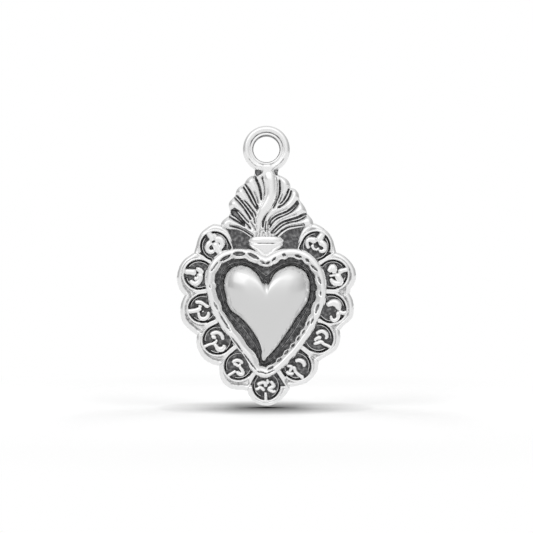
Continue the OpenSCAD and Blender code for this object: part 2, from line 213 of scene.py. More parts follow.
def fill(ring, spacing):
    """Points and triangles over the area inside a ring of points, whose own points come first."""
    row_share = 0.87
    edge_room = 0.55
    xs = np.arange(ring[:, 0].min(), ring[:, 0].max(), spacing)
    ys = np.arange(ring[:, 1].min(), ring[:, 1].max(), spacing * row_share)
    gx, gy = np.meshgrid(xs, ys)
    gx = gx + (np.arange(len(ys)) % 2)[:, None] * spacing / 2
    inner = np.column_stack([gx.ravel(), gy.ravel()])
    inner = inner[inside(inner, ring)]
    inner = inner[away(inner, ring) > spacing * edge_room]
    points = np.vstack([ring, inner])
    m = len(ring)
    edges = [(k, (k + 1) % m) for k in range(m)]
    out = delaunay_2d_cdt([Vector(p) for p in points.tolist()], edges, [list(range(m))], 1, 1e-7)
    fresh = [k for k, o in enumerate(out[3]) if not o]
    origin = {k: o[0] for k, o in enumerate(out[3]) if o}
    origin.update({k: len(points) + i for i, k in enumerate(fresh)})
    points = np.vstack([points] + [np.array([out[0][k]]) for k in fresh])
    return points, np.array([[origin[k] for k in face] for face in out[2]])


def plate(line, rows, spacing, top, stain):
    """A closed plate inside a line, with an edge of (inset, height) rows.

    top and stain give the height and the stain of points on its front.
    """
    back_spacing = 0.7
    inward = normals(line, closed=True) * turning(line)
    m = len(line)
    loops = [np.column_stack([line + inward * inset, np.full(m, z)]) for inset, z in rows]
    front, faces = fill(loops[-1][:, :2], spacing)
    loops[-1][:, 2] = top(front[:m])
    back, back_faces = fill(loops[0][:, :2], back_spacing)
    idx = np.arange(len(rows) * m).reshape(len(rows), m)
    a, b = idx[:-1], idx[1:]
    quads = np.stack([a, np.roll(a, -1, axis=1), np.roll(b, -1, axis=1), b], axis=-1).reshape(-1, 4)
    start = (len(rows) - 1) * m
    count = len(rows) * m
    lower = count + len(front) - m
    tris = np.vstack([np.where(faces < m, faces + start, faces - m + count),
                      np.where(back_faces < m, back_faces, back_faces - m + lower)[:, ::-1]])
    verts = np.vstack(loops + [np.column_stack([front[m:], top(front[m:])]),
                               np.column_stack([back[m:], np.full(len(back) - m, rows[0][1])])])
    marks = np.zeros(len(verts))
    marks[start:count] = stain(front[:m])
    marks[count:lower] = stain(front[m:])
    add(verts, quads, tris, marks)


def build_ring():
    """The bail ring, turned round its hole, with a groove that is deepest at the top."""
    groove_r = HOLE_R + 0.31
    line_r = HOLE_R + 0.62
    line_w = 0.06
    front = 1.2
    turns = np.linspace(0, 2 * math.pi, 120, endpoint=False)
    # Profile over the front and back, as (distance from the hole's or the rim's radius, height)
    bore = [(0, 0.3), (0, 0.75), (0, 1.2), (0.03, 1.35), (0.11, 1.455), (0.2, 1.46), (0.3, 1.4),
            (0.38, 1.4), (0.5, 1.475), (0.64, 1.497), (0.78, 1.43), (0.88, 1.27)]
    rim = [(0.01, 1.02), (0, 0.72), (0.05, 0.38), (0.17, 0.13), (0.35, 0.02), (0.6, 0.003)]
    back = [(0.13, 0.03), (0.03, 0.13)]
    profile = ([(HOLE_R + d, h) for d, h in bore] + [(RING_R - d, h) for d, h in rim]
               + [(HOLE_R + d, h) for d, h in back])
    outline = curve(profile, 66, closed=True)
    r, h = outline[:, 0], outline[:, 1]
    h = np.clip(h, 0, RING_T)
    r = np.clip(r, HOLE_R, RING_R)
    groove = np.exp(-((r - groove_r) / line_w) ** 2) * (h > front)
    wall = step(HOLE_R + 0.1, HOLE_R + 0.02, r) * step(0.05, 0.4, h)
    rings, stain = [], []
    for a in turns:
        cut = 0.4 + 0.6 * step(-0.4, 0.6, math.sin(a))
        low = step(-0.35, -0.5, math.sin(a)) * step(-0.96, -0.9, math.sin(a))
        line = low * np.exp(-((r - line_r) / line_w) ** 2) * (h > front)
        depth = 0.14 * groove * cut + 0.06 * line
        rings.append(np.stack([r * math.cos(a), r * math.sin(a), h - depth], axis=1))
        stain.append(np.maximum(np.maximum(0.95 * groove * cut, 0.8 * wall), 0.75 * line))
    loft(rings, loop=True, stain=np.array(stain))


# Silhouette of each lobe from notch to notch, clockwise as seen from the front, from the top left round the
# bottom to the top right. Each entry is the recess's centre and radius, then the edge.
LOBES = [
    ((214.7, 246, 14.3),
     [(233.6, 252), (233.6, 245), (232.5, 238), (229.3, 231.5), (225, 227.5), (220, 225), (213, 224.6),
      (207, 228), (202, 232), (199, 237), (197, 243), (196, 247), (194.3, 252.6)]),
    ((198.8, 274.7, 14.6),
     [(194.3, 252.6), (190, 255.5), (185, 259), (181, 264), (178.5, 270), (177.2, 276), (177.3, 280),
      (178.3, 285), (180.3, 290), (184.7, 295.6)]),
    ((202.5, 308.7, 14.0),
     [(184.7, 295.6), (182.6, 300), (181, 305), (180.6, 311), (181.2, 317), (183, 322), (187, 327),
      (191.5, 331), (197.2, 335)]),
    ((217.5, 340, 14.5),
     [(197.2, 335), (196.6, 340), (197, 346), (199, 351), (202, 356.5), (207, 361), (213, 364),
      (219.3, 365.6)]),
    ((238.5, 366, 14.0),
     [(219.3, 365.6), (219.5, 371), (220.5, 377), (223, 382), (227, 386), (232, 388.5), (238, 389.5),
      (243, 389.6), (247.3, 390.4)]),
    ((266.3, 386, 13.8),
     [(247.3, 390.4), (249, 395), (252, 399), (255, 402), (260, 404.5), (266, 405.4), (271, 405),
      (275.5, 403.2), (280.3, 399.7), (284.7, 395.7), (288, 391), (290.3, 386.6)]),
    ((297, 366, 14.0),
     [(290.3, 386.6), (293.5, 386.3), (299, 385), (305, 383.3), (310, 379.8), (314, 375.6), (317, 370.7),
      (318, 366), (318.7, 361.3)]),
    ((318.5, 338, 14.5),
     [(318.7, 361.3), (325, 356.8), (330, 354), (335, 350.5), (338, 346), (339.8, 340.8), (340.2, 335.5),
      (339.6, 330.4)]),
    ((331.7, 308.7, 14.2),
     [(339.6, 330.4), (343, 326), (347, 322.5), (350.5, 319.5), (352.6, 316), (353.5, 311), (353.5, 305),
      (352.2, 299), (349.6, 294)]),
    ((333, 274.5, 14.5),
     [(349.6, 294), (350.5, 289), (353.2, 285), (355, 281), (355.8, 276), (355, 270), (352, 264),
      (347, 258.3), (341.5, 254.5), (336, 252.4)]),
    ((316, 246, 14.2),
     [(336, 252.4), (334.6, 247), (333, 241), (330, 235), (326, 230.5), (320, 226), (313, 223.5),
      (306, 225.5), (301.5, 230), (299, 235), (297.4, 240), (297, 246), (297.2, 252)])
]
# Outer edges of the fan of flames, from the neck down on the left and up to it on the right
FAN_LEFT = [
    (254.5, 166), (254.8, 172), (253.8, 175.3), (251, 176.2), (248.5, 177.8), (246, 180.5), (244.8, 183),
    (242.5, 185), (239.5, 186.8), (237, 189.5), (235.8, 192.5), (235.3, 195.5), (233, 198), (230.5, 200.5),
    (229, 203), (228.8, 206.5), (229.8, 210), (230, 213), (228.8, 215.8), (226, 218), (222.5, 221),
    (221, 224), (222, 227.5)]
FAN_RIGHT = [
    (312, 228), (313.5, 225), (312.5, 220), (309, 215.7), (307, 213), (306.2, 210), (304.5, 206.5),
    (302, 203), (299.5, 200), (299.3, 197.5), (298.5, 193.5), (296, 190), (293, 188.3), (290.5, 188),
    (290.3, 185.5), (289, 182), (286.5, 179), (283, 177), (280, 175.5), (277.8, 174.3), (278.3, 171),
    (279.3, 166)]
BEAD_T = 1.5

lobe_c = np.array([mm([lobe[0][:2]], BEAD_T)[0] for lobe in LOBES])
lobe_r = np.array([lobe[0][2] * PX for lobe in LOBES])
lobe_edge = [mm(lobe[1]) for lobe in LOBES]
silhouette = np.vstack([curve(e, 120) for e in lobe_edge])

# Middle line of the heart frame, clockwise from the cleft over the right lobe
FRAME_LINE = [
    (266.3, 262), (274, 258.5), (280, 255.4), (285.5, 253.7), (291.5, 253), (298.5, 254), (305.5, 257),
    (311.7, 262), (316.4, 268), (319.8, 275.5), (321.3, 283.5), (321.4, 292.5), (320, 301), (317.5, 308),
    (314.7, 315.5), (311, 323.5), (306.8, 331), (302.5, 337.5), (298, 344), (292.8, 350.5), (287, 356.5),
    (281.3, 362.4), (275.3, 367.6), (269.4, 371.4), (263.5, 372.4), (258, 370.3), (254.3, 365.7),
    (252.4, 360.5), (250, 355.3), (246.3, 350.7), (242.5, 347), (238.8, 341.5), (235, 335.7),
    (230.4, 330.4), (225.2, 324.3), (221, 318), (217.6, 311.5), (215, 304.5), (213.1, 297.5), (211, 289),
    (210.3, 281), (211.2, 272.5), (214, 266), (218.6, 260.5), (225, 256), (232.5, 253.8), (241, 253.2),
    (248.5, 254.6), (256, 258)]
# The dark cuts between the frame's outer band and its scalloped inner band, as the two ends of each
ROPE_CUTS = [
    ((220, 260.8), (230.5, 254.9), 1.5), ((233, 253.7), (245, 253.7), 2.1), ((248, 253.3), (259, 259), 1.7),
    ((260.5, 260.5), (265.3, 264.6), 1.1), ((265.3, 264.6), (270, 261.5), 1.1),
    ((272, 261), (276, 257.4), 0.9), ((282, 254), (286, 255.4), 1.3), ((295, 255), (301.5, 257), 1.4),
    ((305.5, 258.6), (309.5, 262), 1.2), ((311, 265), (317.5, 271), 0.9),
    ((317.5, 276), (321.3, 284.5), 0.9), ((320.3, 291), (320.5, 296), 0.6),
    ((319, 303), (315.5, 313.5), 1.1), ((313.5, 317), (311, 324), 0.8), ((307, 326), (309.3, 321), 0.9),
    ((301.8, 334.5), (304.4, 330), 0.9), ((296.8, 341), (299.8, 336.5), 0.9),
    ((290.8, 348), (294.6, 343.7), 1.0), ((284.2, 354.5), (288.2, 350.3), 1.0),
    ((277, 362), (281.5, 358.5), 1.1), ((268, 369.5), (273.5, 366.5), 1.1),
    ((257.1, 371.4), (267, 373.6), 0.7), ((267, 373.6), (275, 370), 0.7),
    ((243.6, 353.8), (256.4, 370.6), 0.8), ((231.2, 336.7), (242.4, 351.7), 0.8),
    ((219, 312.2), (230.4, 331.7), 0.8), ((213.6, 301.7), (218.4, 310.3), 0.8),
    ((210.2, 288), (209.8, 284), 0.6), ((211, 271.5), (218, 262), 0.7)]
FRAME_T = 2.1


def build_frame():
    """The rope-like frame, with its dark cuts and its scalloped inner edge."""
    n, across = 560, 24
    outer_half, inner_half = 0.57, 0.53
    base = 0.4
    c = curve(mm(FRAME_LINE, 1.7), n, closed=True)
    nrm = normals(c, closed=True)
    cuts = [mm(cut[:2], 1.9) for cut in ROPE_CUTS]
    widths = [cut[2] * PX for cut in ROPE_CUTS]
    middles = np.array([cut.mean(axis=0) for cut in cuts])
    lens = np.array([np.linalg.norm(cut[1] - cut[0]) for cut in cuts])
    # The inner edge swells beside each cut and pulls in between two
    near = np.zeros(n)
    for m, length in zip(middles, lens):
        near = np.maximum(near, np.exp(-(np.linalg.norm(c - m, axis=1) / (0.42 * length + 0.12)) ** 4))
    inner = inner_half * (1.0 + 0.22 * near)
    # q runs from the outer edge at 1 to the inner edge at -1
    q, crest = arch(across)
    crest = crest ** 0.45
    reach = np.where(q[None] > 0, outer_half, inner[:, None])
    h = base + (FRAME_T - base) * crest[None] * np.ones((n, 1))
    h -= 0.14 * step(0.1, -0.5, q)
    rings = crossed(c, nrm, reach * q, h)
    flat = rings[:, :, :2].reshape(-1, 2)
    cut_depth = np.zeros(len(flat))
    mark = np.zeros(len(flat))
    for (a, b), width in zip(cuts, widths):
        d = b - a
        length = np.linalg.norm(d)
        u = np.clip(((flat - a) @ d) / length ** 2, 0, 1)
        gap = np.linalg.norm(flat - a - u[:, None] * d, axis=1)
        wide = 0.03 + width * np.sin(math.pi * u) ** 0.7
        cut_depth = np.maximum(cut_depth, min(0.45, 3 * width) * step(1.3, 0.5, gap / wide))
        mark = np.maximum(mark, step(1.25, 0.75, gap / wide))
    h -= cut_depth.reshape(h.shape) * (crest > 0.3)
    rings[:, :, 2] = h
    stain = np.maximum(mark.reshape(h.shape) * CUT_OXIDE, step(1.3, 1.05, h) * (q < 0))
    loft(rings, loop=True, stain=stain)


# Edge of the domed heart, clockwise from the cleft
DOME_LINE = [
    (265.5, 281), (270, 278.6), (273, 274.3), (277, 270.5), (282, 267.5), (287.5, 265.4), (293, 265),
    (299, 267), (304, 270), (307.5, 274.3), (309.6, 280), (310.5, 287), (310, 294), (308.3, 300.5),
    (305, 307), (301, 313.2), (297, 319), (293, 325.7), (289, 331.8), (285, 337.3), (281, 342.8),
    (277, 348), (272.3, 353), (267.6, 357.6), (263.6, 361.2), (262, 357.5), (262, 353), (260.6, 348),
    (258.6, 343), (255.8, 338), (252.4, 333), (248.8, 328), (244.4, 323), (240.2, 319), (236, 315.3),
    (230.6, 310.8), (227.2, 305), (225.6, 298.3), (223.8, 291), (223, 284), (224, 277.3), (226.6, 272),
    (231, 267.6), (235.5, 265.4), (241.3, 264.6), (246.7, 265.8), (252, 268.5), (257, 272.6),
    (261.3, 277.6)]
DOME_EDGE_T = 1.2
DOME_T = 3.04


def build_dome():
    """The domed heart, as rings that shrink from its edge to its crown."""
    grow = 0.12
    edge = curve(mm(DOME_LINE, 1.3), 300, closed=True)
    edge = edge - turning(edge) * normals(edge, closed=True) * grow
    # Above this height the dome closes on one point, and below it on a spine that runs down towards the tip
    middle = (HOLE_Y - 300) * PX
    tip = edge[:, 1].argmin()
    half = len(edge) // 2
    edge = np.roll(edge, half - tip, axis=0)
    low = np.flatnonzero(edge[:, 1] < middle)
    side = 60
    right = curve(edge[low[0]:half + 1], side)
    left = curve(edge[half:low[-1] + 1], side)
    top = curve(np.vstack([edge[low[-1]:], edge[:low[0] + 1]]), 150)
    outer = np.vstack([top[:-1], right[:-1], left[:-1]])
    k = np.linspace(0, 1, side)
    drop = 0.8 * (middle - right[-1, 1])
    spine = np.column_stack([-0.04 * drop * k, middle - drop * k])
    aim = np.vstack([np.repeat(spine[:1], len(top) - 1, axis=0), spine[:-1], spine[:0:-1]])
    fall = np.concatenate([np.zeros(len(top) - 1), k[:-1] ** 2, k[:0:-1] ** 2])
    crown = DOME_T - 0.9 * fall
    rings = []
    rise = [(0.0, 0.4), (0.0, 0.8), (0.003, 1.0), (0.012, 1.2), (0.03, 1.42), (0.06, 1.66), (0.1, 1.9),
            (0.15, 2.13), (0.21, 2.34), (0.28, 2.53), (0.36, 2.69), (0.45, 2.82), (0.55, 2.92),
            (0.66, 2.985), (0.78, 3.02), (0.9, 3.037), (1, DOME_T)]
    for share, h in rise:
        lift = max(h - DOME_EDGE_T, 0) / (DOME_T - DOME_EDGE_T)
        level = min(h, DOME_EDGE_T) + (crown - DOME_EDGE_T) * lift
        rings.append(np.column_stack([outer + (aim - outer) * share, level]))
    loft(rings, stain=step(1.15, 0.95, np.array([h for _, h in rise]))[:, None])
    # The two sides share their points along the spine, so the front needs no fan
    verts, quads, tris, stain = shells.pop()
    first = (len(rise) - 1) * len(outer) + len(top) - 1
    same = np.arange(len(verts))
    same[first + 2 * side - 2 - np.arange(1, side - 1)] = first + np.arange(1, side - 1)
    shells.append((verts[:-1], same[quads], tris[:len(outer)], stain[:-1]))


def bulge(t):
    """Rise of a full edge, from 0 at its foot to 1 where t is 1."""
    return np.sqrt(np.clip(1 - (1 - np.clip(t, 0, 1)) ** 2.2, 0, 1))


def bead_height(d, gap):
    """Height of the bead at distance d outside a recess; gap is the room up to the next recess."""
    up = step(-0.07, 0.09, d)
    fall = step(0.15, 0.3, d) * step(0.5, 0.74, gap)
    return (GROUND + 0.03 + (BEAD_T - 0.05 - GROUND) * up - 0.45 * fall
            + 0.02 * np.exp(-((d - 0.12) / 0.06) ** 2))


def lip_height(e):
    """Height of the broad rounded lip at distance e inside the silhouette."""
    return 0.8 + 0.58 * bulge(e / 0.34) - 0.5 * step(0.4, 0.68, e)


# Middle of the heart, the way out of the right end lobe, and half the width of the bar between two recesses
HEART_MIDDLE = np.array([0.0, -12.9])
END_X, END_Y = 0.42, 0.907
BAR_HALF = 0.25


def recess_distance(p, i):
    """Distance outside the recess of lobe i, round on its outer half and straight along the bars inward."""
    c, r = lobe_c[i], lobe_r[i]
    q = p - c
    prev_c = lobe_c[i - 1] if i > 0 else None
    next_c = lobe_c[i + 1] if i < len(lobe_c) - 1 else None
    if prev_c is None or next_c is None:
        outward = np.array([-END_X if prev_c is None else END_X, END_Y])
    else:
        outward = np.array([(next_c - prev_c)[1], -(next_c - prev_c)[0]])
        outward = outward / np.linalg.norm(outward)
    if (c - HEART_MIDDLE) @ outward < 0:
        outward = -outward
    along = np.array([-outward[1], outward[0]])
    circle = np.linalg.norm(q, axis=1) - r
    strips = [q @ outward]
    for other, sign in ((prev_c, -1), (next_c, 1)):
        if other is None:
            strips.append(q @ (along * sign) - r)
        else:
            n = (other - c) / np.linalg.norm(other - c)
            strips.append(q @ n - (np.linalg.norm(other - c) / 2 - BAR_HALF))
    strip = np.max(np.stack(strips), axis=0)
    return np.minimum(circle, strip), outward


def build_lobes():
    """Each lobe as rings round its recess: the floor, the bead, the lip and the wall down to the back."""
    bar_reach = 0.95
    for i in range(len(LOBES)):
        c = lobe_c[i]
        edge = curve(lobe_edge[i], 56)
        _, outward = recess_distance(c[None], i)
        ends = []
        for k, notch in ((0, edge[0]), (-1, edge[-1])):
            j = i - 1 if k == 0 else i + 1
            if 0 <= j < len(LOBES):
                # The bar runs from the notch along the line between the two recesses
                between = lobe_c[j] - c
                inward = np.array([-between[1], between[0]]) / np.linalg.norm(between)
                if inward @ outward > 0:
                    inward = -inward
                mid = (lobe_c[j] + c) / 2 + inward * bar_reach
            else:
                mid = notch - np.array([0.0, 0.35])
            ends.append(np.linspace(mid, notch, 16)[:-1])
        inner = np.linspace(ends[1][0], ends[0][0], 10)[1:-1]
        rim = np.vstack([ends[0], edge, ends[1][::-1], inner])
        shares = np.concatenate([np.linspace(0.12, 0.5, 4), np.linspace(0.54, 1, 20)])
        grid = c + (rim - c)[:, None] * shares[:, None]
        flat = grid.reshape(-1, 2)
        d, _ = recess_distance(flat, i)
        others = [recess_distance(flat, j)[0] for j in (i - 1, i + 1) if 0 <= j < len(LOBES)]
        gap = d + np.maximum(np.min(np.stack(others), axis=0), 0)
        e = away(flat, silhouette)
        h = bead_height(d, gap)
        lip = lip_height(e)
        outer = step(0.1, 0.25, d) * step(0.45, 0.7, gap)
        h = np.where(d > 0.1, np.maximum(h, lip * outer), h)
        h = np.where(d > 0.05, np.minimum(h, 0.8 + 0.66 * bulge(e / 0.3)), h)
        floor = step(0.06, -0.04, d)
        pit = step(0.16, 0.28, d) * step(0.6, 0.8, gap) * step(0.3, 0.4, e)
        at_end = i in (0, len(LOBES) - 1)
        seam = (0.4 if at_end else 0.62) * np.exp(-((d - 0.25) / 0.05) ** 2) * outer * step(0.2, 0.4, e)
        stain = np.maximum(np.maximum(GROUND_OXIDE * floor, 0.5 * pit), seam).reshape(grid.shape[:2])
        h = (h - 0.08 * seam).reshape(grid.shape[:2])
        # Walls, with a rounded back edge
        n = len(rim)
        walls = []
        for inset, z in ((0.0, 0.45), (0.0, 0.22), (0.03, 0.08), (0.09, 0.02)):
            p = rim + (c - rim) / np.linalg.norm(c - rim, axis=1, keepdims=True) * inset
            walls.append(np.column_stack([p, np.full(n, z)]))
        top = np.concatenate([grid, h[:, :, None]], axis=2)
        loft([*top.transpose(1, 0, 2), *walls], stain=np.vstack([stain.T, np.zeros((len(walls), n))]))


# The worn scroll forms in the recesses, one list of strokes for each lobe in the order of LOBES. A stroke's
# points are its place and its width in pixels.
SCROLLS = [
    [[(207.5, 231, 4), (209.5, 234.5, 4.5), (211.6, 237.8, 4.5), (213.8, 241.1, 5)],
     [(213.8, 241.1, 5), (217.1, 239, 5), (220.4, 239.6, 4.8), (222.5, 242.8, 4), (221.5, 246.7, 3.4),
      (219, 248.5, 3)],
     [(213.2, 232.6, 2.6), (214.9, 236, 3), (217.8, 236.6, 2.4)],
     [(212, 240.5, 4.5), (208.4, 244, 4), (206.8, 247.6, 3.6), (208.4, 251, 3.6), (211.6, 252, 3.6),
      (214.2, 249.4, 3)],
     [(213.8, 241.5, 5), (216, 246, 5), (218.6, 250.5, 5), (221, 254, 4)]],
    [[(183, 271.5, 4), (189.5, 271.8, 4), (193, 272.2, 4.4), (197, 272.3, 5)],
     [(197, 272.3, 5), (199.3, 269.6, 5.6), (200.8, 266.6, 4.6)],
     [(198, 272.2, 5), (200.2, 276.6, 4), (199, 281.2, 3.6), (195.4, 283.8, 3.4), (191.7, 282.2, 3),
      (190.6, 279, 2.6)],
     [(193.5, 279.6, 2.4), (195.8, 278.6, 2.8), (197, 280.6, 2.2)],
     [(200.5, 271.6, 3.4), (204.5, 272.4, 3)]],
    [[(194.5, 303.2, 2.2), (197, 302.1, 2.8), (200.5, 302.1, 2.8), (204, 304, 2.6), (207, 306.3, 3),
      (209.5, 304.8, 2.6)],
     [(185, 311.6, 3.6), (193, 311, 3.5), (197, 310, 3.4), (200, 308.6, 3), (202.2, 308, 2.6)],
     [(202.2, 308, 2.6), (200, 306.4, 2), (197.6, 305.8, 1.8)],
     [(198.6, 311.5, 2.2), (199, 316, 2.5), (202, 318.8, 3), (206, 318, 3), (208.4, 314.5, 2.8),
      (207.6, 311, 2.2)],
     [(202, 310.4, 1.8), (204, 312.6, 2)]],
    [[(210.6, 336, 2.2), (212, 333.6, 2.6), (216, 332.4, 3), (220, 333.5, 3), (222.4, 337, 3),
      (223, 341, 2.4)],
     [(210.2, 337.6, 2.8), (213, 337.1, 3), (216.8, 338.4, 2)],
     [(202.8, 347.3, 2.8), (209, 344.6, 2.4), (213, 343.5, 2.4), (216, 341.6, 2.2), (217, 338.8, 1.8)],
     [(213.4, 343.6, 2.4), (216, 346, 3), (218.2, 348.8, 3.6), (221.4, 349.4, 3.8), (223.8, 347, 3.4),
      (223, 344, 2.4)]],
    [[(227, 376.4, 2.8), (232.4, 373, 2.4), (236.4, 370.3, 2.6)],
     [(232.2, 364, 2.2), (233.8, 361.2, 2.6), (237.9, 360.2, 2.8), (241.4, 361.7, 2.6),
      (242.8, 364.8, 2.2)],
     [(232.2, 364, 2.2), (235.7, 364.6, 2.4), (238.6, 366, 2.4), (241.2, 363.4, 2)],
     [(236.4, 370.3, 2.6), (238, 373.1, 2.8), (240.8, 374.4, 3), (242.9, 373, 2.8), (242.4, 370.2, 2.6),
      (240, 367.4, 2.6), (238.6, 366, 2.4)]],
    [[(265.9, 402.4, 2.8), (265.7, 395, 2.4), (265, 391.7, 2.6)],
     [(255, 387.4, 2.2), (257.1, 389.4, 2.4), (260, 387.6, 2.6), (262.9, 389.4, 2.6), (265, 391.7, 2.6)],
     [(256.4, 385.2, 2.2), (260, 383.1, 2.6), (263.6, 382.4, 2.8), (265.7, 384.6, 2.8),
      (264.3, 387.6, 2.4)],
     [(265.7, 384.6, 2.8), (267.8, 381.7, 2.4), (266.4, 378.6, 2)],
     [(270, 380.2, 2.2), (272.2, 383.1, 2.6), (274, 386, 2.8), (270.8, 387.5, 2.6), (268.6, 389.2, 2.4),
      (271.4, 391.2, 2.6), (274.4, 391.7, 2.4), (275.2, 389.4, 2)]],
    [[(294.3, 361.8, 2.6), (298.6, 360.3, 3.2), (302.7, 361.7, 3.4), (304.3, 364.6, 3),
      (302.8, 367.6, 2.2)],
     [(286.4, 367.4, 2), (288.7, 366, 2.4), (291.4, 366.8, 2.8), (290.6, 369.6, 2.4), (288.6, 371.8, 2)],
     [(291.4, 366.8, 2.8), (294.4, 368.2, 2.8), (295.8, 371.7, 2.6), (298.6, 374.6, 2.8),
      (304.4, 378.6, 3)],
     [(285.8, 370.4, 2.2), (288, 373.2, 2.6), (291.4, 374, 2.6), (294.4, 373, 2.2)]],
    [[(315.6, 334.7, 2.2), (318.6, 332, 2.8), (322.9, 331.4, 3), (326.2, 333.9, 3), (326.8, 337.4, 2.6),
      (324.3, 339.2, 2)],
     [(314.2, 341.6, 2), (315.8, 338.8, 2.4), (319.2, 337.5, 2.6), (322.2, 338.3, 2)],
     [(312.6, 344, 2.2), (317, 343.2, 2.6), (321.4, 341.8, 2.8), (323.8, 344, 2.6), (327.2, 345.4, 2.6),
      (333.2, 348.6, 2.8)]],
    [[(325.6, 305.8, 3), (329.5, 304.1, 4), (333, 302.8, 4.8), (336.8, 303.8, 5.2), (338.3, 307.2, 4.6),
      (337.8, 311, 4)],
     [(350.3, 310.8, 3), (344, 313, 3), (340.4, 312.2, 3.2), (337.6, 311, 4)],
     [(336.6, 311, 3.8), (338.4, 315, 3.2), (337, 319, 3), (333.6, 320.3, 2.8), (331.2, 318, 2.4),
      (331.2, 314.6, 2)]],
    [[(350.8, 269.2, 3.6), (344, 270.2, 3.4), (340.4, 271.4, 4), (337.6, 272, 5)],
     [(337.6, 272, 5), (334.8, 270.2, 5), (332.6, 267.6, 5), (330, 270, 3.8), (328, 272.8, 3)],
     [(337.8, 272, 5), (338.2, 276, 4.6), (340.4, 279.8, 4), (340.6, 282.8, 3.8), (337.6, 283.6, 3.4),
      (334, 282.8, 3.6), (331.6, 280.4, 3), (331, 277.4, 2.4)],
     [(328.5, 275.8, 1.6), (332.5, 275.6, 1.8), (336, 275, 1.8)]],
    [[(324, 231.5, 4.4), (321.4, 236, 4.8), (319, 240, 5.4), (316.6, 242, 5.4)],
     [(318, 240.6, 5.4), (313.4, 240, 4.8), (309.4, 239.4, 3.8), (307, 242, 3.2), (307.6, 246, 3),
      (309.6, 249.4, 3)],
     [(318, 241, 5.4), (322, 243, 4.8), (324.8, 245.6, 4), (325.2, 249, 3.4), (322.4, 251.4, 3),
      (318, 250.6, 2.6)],
     [(312.4, 243.6, 3), (313.4, 248.2, 2.6), (316.6, 249.6, 2.2), (319.8, 247.4, 2.4)]]
]
# A thin low line runs round inside the recess, from one side of the stem to the frame, in recess radii
ARC_R = 0.87
ARC_W = 0.05
ARC_TURNS = np.radians((20, 40, 60, 80, 100, 120, 140, 158))
ARC = np.array([(ARC_R * math.sin(a), ARC_R * math.cos(a), ARC_W) for a in ARC_TURNS])


def build_scrolls():
    """Each recess's two thin arcs and its worn scroll, whose strokes differ a little in height."""
    top = 1.3
    for i, strokes in enumerate(SCROLLS):
        c, r = lobe_c[i], lobe_r[i]
        _, outward = recess_distance(c[None], i)
        right = np.array([outward[1], -outward[0]])
        for flip in (1, -1):
            place = c + (flip * ARC[:, :1] * right + ARC[:, 1:2] * outward) * r
            ridge(np.column_stack([place, ARC[:, 2] * r]), 1.05, n=18, base=0.5, ends=(0.6, 1.0),
                  power=0.55, sections=8, foot=0.9, shade=0.45)
        width = 0.88 if i in (0, len(SCROLLS) - 1) else 0.98
        for k, stroke in enumerate(strokes):
            ridge(mm(stroke, top) * (1, 1, width), top + 0.015 * (k % 3), n=24, base=0.5,
                  ends=(0.9, 0.85), power=0.6, sections=12, foot=1.0)


